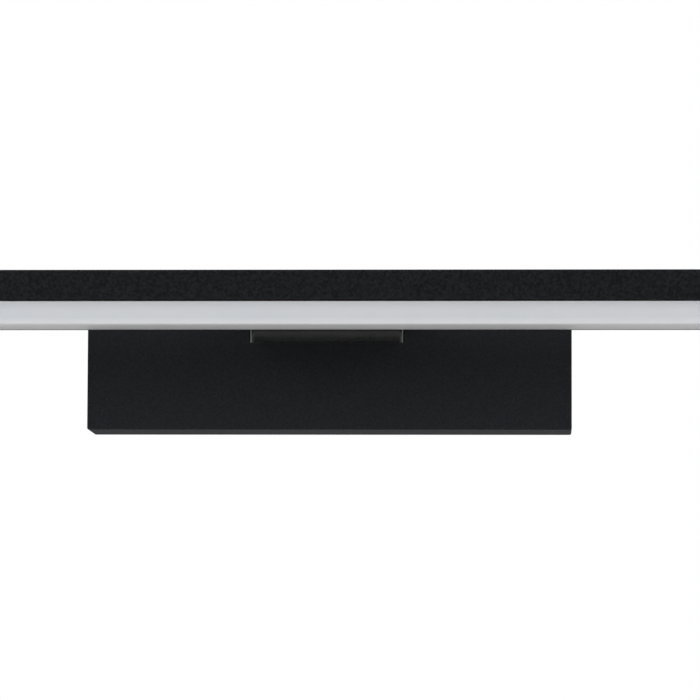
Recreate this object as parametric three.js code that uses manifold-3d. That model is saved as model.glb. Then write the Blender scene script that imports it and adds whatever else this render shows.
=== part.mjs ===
// A vanity light bar: a wall canopy with its driver inside, a tilting arm, and a bar of LEDs behind
// an opal diffuser. Millimetres, +Z up, +X along the bar. The wall is the plane y = 0 and the front of
// the lamp faces -Y, so a depth counted forward from the wall is a negative y.

import * as THREE from 'three';
import { mergeVertices } from 'three/addons/utils/BufferGeometryUtils.js';
import Module from 'manifold-3d';

const wasm = await Module();
wasm.setup();

// ---------------------------------------------------------------------------------------------
// Driving dimensions
// ---------------------------------------------------------------------------------------------

const GAP = 0.3; // between pieces that touch
const ROUND = 20; // sides of a round piece
const ROUND_FINE = 32; // sides of a large round piece
const ROUND_SMALL = 14; // sides of a screw or a lead's hole

const CANOPY = { width: 160, height: 48, depth: 25, wall: 1.2, edge: 0.3, sideScrewDepth: 8 };
const BRACKET = { thickness: 1.5, height: 40, flangeDepth: 14, flangeHeight: 20, bend: 2.5 };
const SLOT = { x: 67, length: 12, width: 5.2 };
const CABLE_ENTRY = { x: 46, z: 9, holeRadius: 7.5, boreRadius: 5.6 };

const ARM = { width: 50.8, sheet: 2, bend: 2.5, bottom: 10.4, top: 10.9, corner: 0.8, reach: 19.2 };
const PIVOT = { reach: 10.2, z: 13.6, cheekRadius: 6.5, washerRadius: 5.2, holeRadius: 2, holeDepth: 6 };
const LUG = {
  height: 16, base: 2, corner: 1.2, channel: 16, washerRoom: 1.1, screwX: 13, holeRadius: 2, holeDepth: 7.4,
};
const PLATE = { width: 52, height: 30, thickness: 1.5, drop: 8, corner: 2 };

const BAR = { length: 400, depth: 20, height: 17.8, wall: 1.6, edge: 0.8, cap: 2, bottom: -6.4 };
const SHADE = { height: 7.5, seam: 0.6, wall: 1.5, edge: 0.6, hookTop: 9.9 };
const SHELF = { low: 10.3, high: 11.5 };
const CHANNEL = { back: 1.6, front: 14.4, low: 11.5, high: 16.2 };
const CAP_PORT = { depth: 17.1, height: 14.4, radius: 1.3, seat: 1.4 };
const BOARD = {
  back: 4.2, front: 15.8, thickness: 1, ledCount: 36, ledSize: 3, ledDepth: 2.8, ledHeight: 0.7, endRoom: 8,
};
const BAR_SCREW_X = 15;
const SLOT_NUT = { halfWidth: 4, thickness: 2 };
const END_CAP = { plug: 6, plugTop: 7.8, holeRadius: 1.3, seatRadius: 2.1 };
const CATCH = { depth: 0.6, frontHeight: 9, rearTop: 9, rearBottom: 8.2, leg: 1.2, shoulder: 1.2 };
const SIDE_SCREW = { shank: 1.5, length: 5, head: 2.9, headHeight: 1.1, socket: 1, countersunk: true };
const FORK_SCREW = { shank: 1.5, length: 6, head: 2.8, headHeight: 1.5, socket: 1, countersunk: true };

const CAP_SCREW = { shank: 1, length: 9, head: 1.8, headHeight: 0.9, socket: 0.8 };
const BOARD_SCREW = { shank: 1, length: 3.4, head: 1.9, headHeight: 1.2, socket: 0.8 };
const LUG_SCREW = { shank: 1.7, length: 9.6, head: 3.5, headHeight: 2.2, socket: 1.5 };
const PIVOT_SCREW = { shank: 1.7, length: 8.4, head: 3.4, headHeight: 2, socket: 1.4 };
const DRIVER_SCREW = { shank: 1.3, length: 3.4, head: 2.6, headHeight: 1.6, socket: 1 };
const CLAMP_SCREW = { shank: 1.6, length: 1.8, head: 1.7, headHeight: 1.4, socket: 0.9 };
const EARTH_SCREW = { shank: 1.5, length: 2.4, head: 3, headHeight: 1.8, socket: 1.2 };

const DRIVER = { left: -50, right: 22, height: 28, depth: 16, wall: 1.5, ear: 6, earHeight: 10, lid: 1.5 };
const DRIVER_BOARD = { standoff: 5, thickness: 1.6, ledge: 3 };
const TRANSFORMER = {
  x: -10, z: 3, width: 16, height: 14, coreDepth: 6.5, bar: 3.5, coilWidth: 12, coilDepth: 6,
};
const CAPACITOR = {
  radius: 3.2, groove: 0.4,
  inputX: 8, inputZ: -5.2, inputLength: 13,
  outputX: -33, outputZ: -4.5, outputLength: 11,
};
const PORTS = { led: [-11, 3], live: [-11, -3], neutral: [-11.5, -8] }; // y and z of the driver's lead holes
const TERMINAL = {
  x: 46, z: -9, width: 26, height: 12, depth: 14, pitch: 8,
  tower: 3, towerRadius: 3.2, wireDepth: 9, wireHole: 1.5,
};
const EARTH = { x: 67, z: -10.5, ringRadius: 3.6, thickness: 0.8, neck: 2.8, barrel: 4, barrelRadius: 1.5 };

const LED_LEAD_RADIUS = 1.3;
const LED_LEAD_HOLE = 3.1; // in the canopy, the plate and the lug, with room for the grommet
const BAR_LEAD_HOLE = 2.7; // in the fork and the housing
const MAINS_LEAD_RADIUS = 1;
const LEAD_ROOM = 0.4;
const TAPPED_RADIUS = 1.8; // clears a 3 mm screw
const PAST = 1; // how far a cutter runs past the face it cuts

// ---------------------------------------------------------------------------------------------
// Places worked out from them
// ---------------------------------------------------------------------------------------------

const canopyFront = -CANOPY.depth;
const canopyInside = -CANOPY.depth + CANOPY.wall;
const plateBack = canopyInside + GAP + PLATE.thickness;
const bracketFront = -BRACKET.thickness;
const pivotY = canopyFront - PIVOT.reach;
const lugBack = canopyFront - GAP;
const lugBaseFront = lugBack - LUG.base;
const cheekInside = ARM.width / 2 - ARM.sheet;
const knuckleOutside = cheekInside - LUG.washerRoom;
const leadInCanopyZ = PIVOT.z + 3;

// In the frame of the tilting group, whose origin is on the pivot axis.
const webFront = -(ARM.reach - PIVOT.reach);
const webBack = webFront + ARM.sheet;
const barBack = webFront - GAP;
const channelZ = BAR.bottom + (CHANNEL.low + CHANNEL.high) / 2;
const extrusionLength = BAR.length - 2 * (BAR.cap + GAP);
const boardTop = SHELF.low - GAP;
const boardHalf = extrusionLength / 2 - BOARD.endRoom;
const ledPitch = (2 * boardHalf) / BOARD.ledCount;
const boardScrewX = boardHalf - 4 * ledPitch; // midway between two LEDs

const driverBack = bracketFront - GAP;
const driverFront = driverBack - DRIVER.depth;

// ---------------------------------------------------------------------------------------------
// Materials
// ---------------------------------------------------------------------------------------------

const finish = (color, roughness, metalness) =>
  new THREE.MeshStandardMaterial({ color, roughness, metalness });

const canopyBlack = () => finish(0x222427, 0.6, 0);
const barBlack = () => finish(0x1d2023, 0.75, 0);
const opal = () => finish(0xcbced3, 0.35, 0);
const zincSteel = () => finish(0xb4b7b6, 0.4, 0.9);
const blackSteel = () => finish(0x1b1c1e, 0.45, 0.6);
const whitePlastic = () => finish(0xe4e2da, 0.5, 0);
const greyPlastic = () => finish(0xc9cbcc, 0.55, 0);
const rubber = () => finish(0x1a1a1b, 0.85, 0);
const nylon = () => finish(0xd9d6c8, 0.5, 0);
const boardGreen = () => finish(0x1f5a3a, 0.5, 0);
const boardWhite = () => finish(0xe9ebe8, 0.45, 0.1);
const ferrite = () => finish(0x3a3c40, 0.7, 0.1);
const capacitorSleeve = () => finish(0x27334f, 0.4, 0.1);
const brass = () => finish(0xc0a05a, 0.35, 0.9);
const leadBrown = () => finish(0x5a3422, 0.5, 0);
const leadBlue = () => finish(0x2f5f9e, 0.5, 0);
const leadGreen = () => finish(0x5d8a34, 0.5, 0);

// ---------------------------------------------------------------------------------------------
// Solids
// ---------------------------------------------------------------------------------------------

function solid(geometry) {
  const bare = geometry.index ? geometry.toNonIndexed() : geometry.clone();
  bare.deleteAttribute('normal');
  bare.deleteAttribute('uv');
  const merged = mergeVertices(bare);
  return new wasm.Manifold(new wasm.Mesh({
    numProp: 3,
    vertProperties: new Float32Array(merged.attributes.position.array),
    triVerts: new Uint32Array(merged.index.array),
  }));
}

function geometryOf(body) {
  const mesh = body.getMesh();
  const geometry = new THREE.BufferGeometry();
  geometry.setAttribute('position', new THREE.BufferAttribute(new Float32Array(mesh.vertProperties), 3));
  geometry.setIndex(new THREE.BufferAttribute(new Uint32Array(mesh.triVerts), 1));
  geometry.computeVertexNormals();
  return geometry;
}

const join = (bodies) => bodies.reduce((whole, body) => whole.add(body));
const cut = (body, cutters) => cutters.reduce((rest, cutter) => rest.subtract(cutter), body);

// A box from its lowest to its highest corner.
function box([x0, y0, z0], [x1, y1, z1]) {
  const geometry = new THREE.BoxGeometry(x1 - x0, y1 - y0, z1 - z0);
  geometry.translate((x0 + x1) / 2, (y0 + y1) / 2, (z0 + z1) / 2);
  return solid(geometry);
}

function roundedRectangle(u0, v0, u1, v1, radius) {
  const shape = new THREE.Shape();
  shape.moveTo(u0 + radius, v0);
  shape.absarc(u1 - radius, v0 + radius, radius, -Math.PI / 2, 0);
  shape.absarc(u1 - radius, v1 - radius, radius, 0, Math.PI / 2);
  shape.absarc(u0 + radius, v1 - radius, radius, Math.PI / 2, Math.PI);
  shape.absarc(u0 + radius, v0 + radius, radius, Math.PI, Math.PI * 1.5);
  return shape;
}

function circlePath(u, v, radius) {
  const path = new THREE.Path();
  path.absarc(u, v, radius, 0, Math.PI * 2, true);
  return path;
}

const SIDES = [-1, 1]; // left and right, or low and high

const extruded = (shape, depth, curveSegments) =>
  new THREE.ExtrudeGeometry(shape, { depth, bevelEnabled: false, curveSegments });

// A profile drawn in y and z, drawn out along X.
function alongX(shape, x0, x1, curveSegments = 3) {
  const geometry = extruded(shape, x1 - x0, curveSegments);
  geometry.applyMatrix4(new THREE.Matrix4().makeBasis(
    new THREE.Vector3(0, 1, 0), new THREE.Vector3(0, 0, 1), new THREE.Vector3(1, 0, 0)));
  geometry.translate(x0, 0, 0);
  return solid(geometry);
}

// A profile drawn in x and z, drawn out forward from the depth yBack to the depth yFront.
function forward(shape, yBack, yFront, curveSegments = 3) {
  const geometry = extruded(shape, yBack - yFront, curveSegments);
  geometry.rotateX(Math.PI / 2);
  geometry.translate(0, yBack, 0);
  return solid(geometry);
}

// A profile drawn in x and y, drawn out upward.
function upward(shape, z0, z1, curveSegments = 3) {
  const geometry = extruded(shape, z1 - z0, curveSegments);
  geometry.translate(0, 0, z0);
  return solid(geometry);
}

const axisTurns = {
  x: (geometry) => geometry.rotateZ(-Math.PI / 2),
  y: (geometry) => geometry,
  z: (geometry) => geometry.rotateX(Math.PI / 2),
};

// A round bar along one axis, between two places on that axis.
function rod(axis, [x, y, z], radius, from, to, sides = ROUND) {
  const geometry = new THREE.CylinderGeometry(radius, radius, to - from, sides);
  axisTurns[axis](geometry);
  const middle = (from + to) / 2;
  geometry.translate(axis === 'x' ? middle : x, axis === 'y' ? middle : y, axis === 'z' ? middle : z);
  return solid(geometry);
}

// A piece turned about Z, from its half-section: [radius, z] points that start and end on the axis.
function turned(points, sides = ROUND) {
  const geometry = new THREE.LatheGeometry(points.map(([r, h]) => new THREE.Vector2(r, h)), sides);
  geometry.rotateX(Math.PI / 2);
  return solid(geometry);
}

// A bent lead along a smooth curve through the points of its route.
function lead(points, radius, steps, sides = 8) {
  const section = new THREE.Shape();
  const corners = Array.from({ length: sides }, (_, i) => (i * 2 * Math.PI) / sides);
  corners.forEach((angle, i) => {
    const place = [radius * Math.cos(angle), radius * Math.sin(angle)];
    if (i === 0) section.moveTo(...place);
    else section.lineTo(...place);
  });
  section.closePath();
  const route = new THREE.CatmullRomCurve3(points.map((p) => new THREE.Vector3(...p)), false, 'centripetal');
  return solid(new THREE.ExtrudeGeometry(section, { steps, extrudePath: route, bevelEnabled: false }));
}

// A screw along Z, its head's seat at z = 0 and its shank below. A countersunk head lies below z = 0.
function screw({ shank, length, head, headHeight, socket, countersunk = false }) {
  const seat = countersunk ? headHeight : 0;
  const top = countersunk ? 0 : headHeight;
  const headSection = countersunk
    ? [[shank, -seat], [head, -0.2], [head, 0], [0, 0]]
    : [[shank, 0], [head, 0], [head, headHeight * 0.6], [head * 0.8, headHeight], [0, headHeight]];
  const body = turned([[0, -length], [shank, -length], ...headSection], ROUND_SMALL);
  return cut(body, [rod('z', [0, 0, 0], socket, top - headHeight * 0.6, top + 1, 6)]);
}

// The hole for a countersunk screw about Z, its wide end up and its rim at z = 0.
function countersunkHole({ shank, head, headHeight }, through) {
  const past = 1;
  const wide = head + 1.5 * GAP;
  return turned([
    [0, -through - past],
    [shank + GAP, -through - past],
    [shank + GAP, -headHeight - GAP],
    [wide, -GAP],
    [wide, past],
    [0, past],
  ]);
}

// ---------------------------------------------------------------------------------------------
// Placing
// ---------------------------------------------------------------------------------------------

const towards = {
  front: new THREE.Vector3(0, -1, 0),
  back: new THREE.Vector3(0, 1, 0),
  left: new THREE.Vector3(-1, 0, 0),
  right: new THREE.Vector3(1, 0, 0),
  down: new THREE.Vector3(0, 0, -1),
  up: new THREE.Vector3(0, 0, 1),
};

// Adds a solid as a named mesh. A piece made along Z points its +Z the way it faces.
function add(group, name, body, material, position = [0, 0, 0], facing = 'up') {
  const mesh = new THREE.Mesh(geometryOf(body), material);
  mesh.name = name;
  mesh.position.set(...position);
  mesh.quaternion.setFromUnitVectors(towards.up, towards[facing]);
  group.add(mesh);
}

// ---------------------------------------------------------------------------------------------
// Canopy and wall bracket
// ---------------------------------------------------------------------------------------------

function canopyCover() {
  const halfWidth = CANOPY.width / 2;
  const halfHeight = CANOPY.height / 2;
  const { edge, wall } = CANOPY;
  const spare = 4; // the outside is drawn past the rim, then cut off flat
  const flatX = halfWidth - edge;
  const flatZ = halfHeight - edge;
  const outline = roundedRectangle(-flatX, -flatZ, flatX, flatZ, edge);
  const geometry = new THREE.ExtrudeGeometry(outline, {
    depth: CANOPY.depth + spare - edge,
    bevelSize: edge,
    bevelThickness: edge,
    bevelSegments: 2,
    curveSegments: 2,
  });
  geometry.rotateX(Math.PI / 2);
  geometry.translate(0, spare, 0);
  const past = spare + edge + PAST;
  const sideHole = countersunkHole(SIDE_SCREW, wall);
  return cut(solid(geometry), [
    box([-halfWidth - PAST, -GAP, -halfHeight - PAST], [halfWidth + PAST, past, halfHeight + PAST]),
    box([-halfWidth + wall, canopyInside, -halfHeight + wall], [halfWidth - wall, past, halfHeight - wall]),
    sideHole.rotate([0, 90, 0]).translate([halfWidth, -CANOPY.sideScrewDepth, 0]),
    sideHole.rotate([0, -90, 0]).translate([-halfWidth, -CANOPY.sideScrewDepth, 0]),
    ...lugScrewHoles(canopyFront - PAST, canopyInside + PAST),
    leadHole(canopyFront - PAST, canopyInside + PAST),
  ]);
}

// The holes that the lug's screws and the LED lead share in the canopy, the plate and the lug.
function lugScrewHoles(yFront, yBack) {
  return SIDES.map((side) => rod('y', [side * LUG.screwX, 0, PIVOT.z], LUG.holeRadius, yFront, yBack));
}

function leadHole(yFront, yBack) {
  return rod('y', [0, 0, leadInCanopyZ], LED_LEAD_HOLE, yFront, yBack);
}

function wallBracket() {
  const outside = CANOPY.width / 2 - CANOPY.wall - GAP;
  const { thickness, bend, flangeDepth, height, flangeHeight } = BRACKET;
  const plan = new THREE.Shape();
  plan.moveTo(outside, -flangeDepth);
  plan.lineTo(outside, -bend);
  plan.absarc(outside - bend, -bend, bend, 0, Math.PI / 2);
  plan.lineTo(-outside + bend, 0);
  plan.absarc(-outside + bend, -bend, bend, Math.PI / 2, Math.PI);
  plan.lineTo(-outside, -flangeDepth);
  plan.lineTo(-outside + thickness, -flangeDepth);
  plan.lineTo(-outside + thickness, -bend);
  plan.absarc(-outside + bend, -bend, bend - thickness, Math.PI, Math.PI / 2, true);
  plan.lineTo(outside - bend, -thickness);
  plan.absarc(outside - bend, -bend, bend - thickness, Math.PI / 2, 0, true);
  plan.lineTo(outside - thickness, -flangeDepth);
  // The flanges are lower than the plate, so each flange loses its top and bottom.
  const flangeCuts = SIDES.flatMap((side) => SIDES.map((end) => {
    const [x0, x1] = side > 0 ? [outside - bend, outside + PAST] : [-outside - PAST, -outside + bend];
    const [z0, z1] = end > 0 ? [flangeHeight / 2, height] : [-height, -flangeHeight / 2];
    return box([x0, -flangeDepth - PAST, z0], [x1, PAST, z1]);
  }));
  const slots = SIDES.map((side) => {
    const [x, halfLength, halfSlot] = [side * SLOT.x, SLOT.length / 2, SLOT.width / 2];
    const shape = roundedRectangle(x - halfLength, -halfSlot, x + halfLength, halfSlot, halfSlot - 0.01);
    return forward(shape, PAST, bracketFront - PAST, 6);
  });
  const across = outside + PAST;
  const throughPlate = (x, z, radius, sides) => rod('y', [x, 0, z], radius, bracketFront - PAST, PAST, sides);
  return cut(upward(plan, -height / 2, height / 2), [
    ...flangeCuts,
    ...slots,
    throughPlate(CABLE_ENTRY.x, CABLE_ENTRY.z, CABLE_ENTRY.holeRadius, ROUND_FINE),
    rod('x', [0, -CANOPY.sideScrewDepth, 0], TAPPED_RADIUS, -across, across),
    ...driverScrewXs().map((x) => throughPlate(x, 0, DRIVER_SCREW.shank + GAP)),
    throughPlate(EARTH.x, EARTH.z, TAPPED_RADIUS),
  ]);
}

// A grommet about Z, its flange from z = 0 up and its sleeve below.
function grommet({ bore, sleeve, length, flange, flangeHeight }) {
  const chamfer = flangeHeight / 2;
  const outside = turned([
    [0, -length],
    [sleeve, -length],
    [sleeve, 0],
    [flange, 0],
    [flange, flangeHeight - chamfer],
    [flange - chamfer, flangeHeight],
    [0, flangeHeight],
  ]);
  return cut(outside, [rod('z', [0, 0, 0], bore, -length - PAST, flangeHeight + PAST)]);
}

function backingPlate() {
  const { width, height, drop, corner } = PLATE;
  const bottom = PIVOT.z - height / 2 - drop;
  const outline = roundedRectangle(-width / 2, bottom, width / 2, bottom + height, corner);
  const yFront = canopyInside + GAP;
  return cut(forward(outline, plateBack, yFront), [
    ...lugScrewHoles(yFront - PAST, plateBack + PAST),
    leadHole(yFront - PAST, plateBack + PAST),
  ]);
}

// ---------------------------------------------------------------------------------------------
// Driver and wiring
// ---------------------------------------------------------------------------------------------

const driverScrewXs = () => [DRIVER.left - DRIVER.ear / 2, DRIVER.right + DRIVER.ear / 2];

function driverCase() {
  const { left, right, height, wall, ear, earHeight, lid } = DRIVER;
  const { standoff, ledge } = DRIVER_BOARD;
  const yFront = driverFront + lid + GAP;
  const inTop = height / 2 - wall;
  const overlap = 0.5;
  const ears = box(
    [left - ear, driverBack - wall, -earHeight / 2],
    [right + ear, driverBack, earHeight / 2]);
  const shell = box([left, yFront, -height / 2], [right, driverBack, height / 2]);
  const hollow = box([left + wall, yFront - PAST, -inTop], [right - wall, driverBack - wall, inTop]);
  // A ledge in each corner carries the board.
  const ledges = [left + wall, right - wall - ledge].flatMap((x) => SIDES.map((end) => {
    const [z0, z1] = end > 0 ? [inTop - ledge, inTop + overlap] : [-inTop - overlap, -inTop + ledge];
    return box(
      [x - overlap, driverBack - standoff, z0],
      [x + ledge + overlap, driverBack - wall + overlap, z1]);
  }));
  const portHole = (place, radius, from, to) =>
    rod('x', [0, ...place], radius + LEAD_ROOM, from, to, ROUND_SMALL);
  const [mainsFrom, mainsTo] = [right - wall - PAST, right + PAST];
  const earHole = (x) => rod('y', [x, 0, 0], TAPPED_RADIUS, driverBack - wall - PAST, driverBack + PAST);
  return cut(join([cut(join([shell, ears]), [hollow]), ...ledges]), [
    ...driverScrewXs().map(earHole),
    portHole(PORTS.led, LED_LEAD_RADIUS, left - PAST, left + wall + PAST),
    portHole(PORTS.live, MAINS_LEAD_RADIUS, mainsFrom, mainsTo),
    portHole(PORTS.neutral, MAINS_LEAD_RADIUS, mainsFrom, mainsTo),
  ]);
}

// A flat lid with a rim that plugs into the case.
function driverLid() {
  const { left, right, height, lid, wall } = DRIVER;
  const back = driverFront + lid;
  const plate = forward(roundedRectangle(left, -height / 2, right, height / 2, 0.8), back, driverFront);
  const rimBox = (inset, yFront, yBack) => box(
    [left + inset, yFront, -height / 2 + inset],
    [right - inset, yBack, height / 2 - inset]);
  const inset = wall + GAP;
  const rimWall = 1;
  const rimReach = 1.2;
  const rim = rimBox(inset, back - lid / 3, back + rimReach);
  return cut(join([plate, rim]), [rimBox(inset + rimWall, back, back + rimReach + PAST)]);
}

const boardBack = driverBack - DRIVER_BOARD.standoff - GAP;
const driverBoardFront = boardBack - DRIVER_BOARD.thickness;

function driverBoard() {
  const inset = DRIVER.wall + 0.5;
  const [x0, x1] = [DRIVER.left + inset, DRIVER.right - inset];
  const halfHeight = DRIVER.height / 2 - inset;
  return forward(roundedRectangle(x0, -halfHeight, x1, halfHeight, 0.8), boardBack, driverBoardFront);
}

// A core with a bar above and below the coil, and a limb that joins them through it.
function transformer() {
  const { x, z, width, height, coreDepth, bar, coilWidth, coilDepth } = TRANSFORMER;
  const base = driverBoardFront - GAP;
  const limb = 3;
  const legRoom = 1;
  const overlap = 0.1;
  const inner = height / 2 - bar;
  const bars = SIDES.map((end) => {
    const [z0, z1] = end > 0 ? [inner, height / 2] : [-height / 2, -inner];
    return box([x - width / 2, base - coreDepth, z + z0], [x + width / 2, base - legRoom, z + z1]);
  });
  const limbHalf = inner + 0.5;
  const middle = box(
    [x - limb, base - coilDepth, z - limbHalf],
    [x + limb, base - 1.5 * legRoom, z + limbHalf]);
  const coilHalf = inner + overlap;
  const coil = box(
    [x - coilWidth / 2, base - coilDepth, z - coilHalf],
    [x + coilWidth / 2, base, z + coilHalf]);
  return join([coil, ...bars, middle]);
}

// A round capacitor lying on the board, along X, with a groove round its open end.
function capacitor(x, z, length) {
  const { radius, groove } = CAPACITOR;
  const y = driverBoardFront - GAP - radius;
  const [start, end] = [x - length / 2, x + length / 2];
  const grooveFrom = end - 1.5;
  const grooveTo = end - 1.3;
  const overlap = 0.2;
  return join([
    rod('x', [0, y, z], radius, start, grooveFrom),
    rod('x', [0, y, z], radius - groove, grooveFrom - overlap, grooveTo + overlap),
    rod('x', [0, y, z], radius, grooveTo, end),
  ]);
}

const terminalXs = () => [-1, 0, 1].map((pole) => TERMINAL.x + pole * TERMINAL.pitch);

// A block with a tower over each clamp screw, and a blind hole for a wire above and below each screw.
function terminalBlock() {
  const { x, z, width, height, depth, wireDepth, tower, towerRadius, wireHole } = TERMINAL;
  const front = driverBack - depth;
  const screwHole = CLAMP_SCREW.head + GAP;
  const body = box(
    [x - width / 2, front + tower, z - height / 2],
    [x + width / 2, driverBack, z + height / 2]);
  const towers = terminalXs().map((pole) => rod('y', [pole, 0, z], towerRadius, front, front + tower + PAST));
  const screwWell = (pole) => rod('y', [pole, 0, z], screwHole, front - PAST, front + tower + 2, ROUND_SMALL);
  const blind = (pole, mouth) =>
    rod('z', [pole, -wireDepth, 0], wireHole, mouth - height / 3, mouth + height / 3, ROUND_SMALL);
  return cut(join([body, ...towers]), [
    ...terminalXs().map(screwWell),
    ...terminalXs().flatMap((pole) => SIDES.map((end) => blind(pole, z + (end * height) / 2))),
  ]);
}

// A ring tag on the earth screw, its barrel hanging down to take the lead.
function earthTag() {
  const { x, z, ringRadius, thickness, neck, barrel, barrelRadius } = EARTH;
  const back = bracketFront - GAP;
  const front = back - thickness;
  const ringBottom = z - ringRadius;
  const barrelTop = ringBottom - 0.5;
  const ring = rod('y', [x, 0, z], ringRadius, front, back);
  const strip = box([x - neck / 2, front, ringBottom - 1], [x + neck / 2, back, ringBottom + 1]);
  const sleevePlace = [x, back - barrelRadius, 0];
  const sleeve = rod('z', sleevePlace, barrelRadius, barrelTop - barrel, barrelTop, ROUND_SMALL);
  const hole = rod('y', [x, 0, z], EARTH_SCREW.shank + 0.5, front - PAST, back + PAST);
  return cut(join([ring, strip, sleeve]), [hole]);
}

// ---------------------------------------------------------------------------------------------
// Tilting arm
// ---------------------------------------------------------------------------------------------

// The fixed half: a foot on the canopy and two knuckles with round noses about the pivot, and between
// them the channel that the LED lead runs through. Its frame is the tilting group's, on the pivot axis.
function hingeLug() {
  const back = lugBack - pivotY;
  const baseFront = lugBaseFront - pivotY;
  const [halfWidth, halfHeight] = [ARM.width / 2, LUG.height / 2];
  const outline = roundedRectangle(-halfWidth, -halfHeight, halfWidth, halfHeight, LUG.corner);
  const foot = forward(outline, back, baseFront);
  const sideView = new THREE.Shape();
  sideView.moveTo(baseFront + 0.5, -PIVOT.cheekRadius);
  sideView.lineTo(baseFront + 0.5, PIVOT.cheekRadius);
  sideView.absarc(0, 0, PIVOT.cheekRadius, Math.PI / 2, Math.PI * 1.5);
  const knuckles = [
    alongX(sideView, -knuckleOutside, -LUG.channel / 2, 16),
    alongX(sideView, LUG.channel / 2, knuckleOutside, 16),
  ];
  const pivotHole = rod('x', [0, 0, 0], PIVOT.holeRadius,
    knuckleOutside - PIVOT.holeDepth, knuckleOutside + PAST);
  const screwHole = (side) =>
    rod('y', [side * LUG.screwX, 0, 0], LUG.holeRadius, back - LUG.holeDepth, back + PAST);
  return cut(join([foot, ...knuckles]), [
    pivotHole,
    pivotHole.mirror([1, 0, 0]),
    ...SIDES.map(screwHole),
    rod('y', [0, 0, leadInCanopyZ - PIVOT.z], LED_LEAD_HOLE, baseFront - PAST, back + PAST),
  ]);
}

// The moving half: a channel of sheet steel whose web carries the bar, and whose two cheeks turn on the
// pivot screws. It is the part common to its plan, its side view and its front view.
function hingeFork() {
  const half = ARM.width / 2;
  const { sheet, bend, bottom, top, corner } = ARM;
  const rear = PIVOT.cheekRadius + 1;
  const plan = new THREE.Shape();
  plan.moveTo(half, rear);
  plan.lineTo(cheekInside, rear);
  plan.lineTo(cheekInside, webFront + bend);
  plan.absarc(half - bend, webFront + bend, bend - sheet, 0, -Math.PI / 2, true);
  plan.lineTo(-half + bend, webBack);
  plan.absarc(-half + bend, webFront + bend, bend - sheet, -Math.PI / 2, -Math.PI, true);
  plan.lineTo(-cheekInside, rear);
  plan.lineTo(-half, rear);
  plan.lineTo(-half, webFront + bend);
  plan.absarc(-half + bend, webFront + bend, bend, Math.PI, Math.PI * 1.5);
  plan.lineTo(half - bend, webFront);
  plan.absarc(half - bend, webFront + bend, bend, -Math.PI / 2, 0);
  const lean = THREE.MathUtils.degToRad(8); // how far the round rear edge runs past top and bottom
  const sideView = new THREE.Shape();
  sideView.moveTo(webFront - PAST, -bottom);
  sideView.lineTo(webBack + bend - sheet, -bottom);
  sideView.absarc(0, 0, PIVOT.cheekRadius, -Math.PI / 2 - lean, Math.PI / 2 + lean);
  sideView.lineTo(webBack + 1.5, top);
  sideView.lineTo(webFront - PAST, top);
  const front = roundedRectangle(-half, -bottom, half, top, corner);
  const body = upward(plan, -bottom - PAST, top + PAST, 5)
    .intersect(alongX(sideView, -half - PAST, half + PAST, 14))
    .intersect(forward(front, rear + PAST, webFront - PAST, 4));
  const forkHole = countersunkHole(FORK_SCREW, sheet).rotate([-90, 0, 0]);
  return cut(body, [
    rod('x', [0, 0, 0], PIVOT.holeRadius, -half - PAST, half + PAST),
    rod('y', [0, 0, channelZ], BAR_LEAD_HOLE, webFront - PAST, webBack + PAST),
    ...SIDES.map((side) => forkHole.translate([side * BAR_SCREW_X, webBack, channelZ])),
  ]);
}

function frictionWasher() {
  const thickness = LUG.washerRoom - 2 * GAP;
  const hole = rod('z', [0, 0, 0], PIVOT_SCREW.shank + LEAD_ROOM, -PAST, thickness + PAST);
  return cut(rod('z', [0, 0, 0], PIVOT.washerRadius, 0, thickness, ROUND_FINE), [hole]);
}

// ---------------------------------------------------------------------------------------------
// Bar
// ---------------------------------------------------------------------------------------------

// The bar's sections are drawn with a depth counted forward from its back and a height from its bottom.
const barY = (depth) => barBack - depth;
const barZ = (height) => BAR.bottom + height;
const barPoints = (points) => points.map(([depth, height]) => [barY(depth), barZ(height)]);

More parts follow.
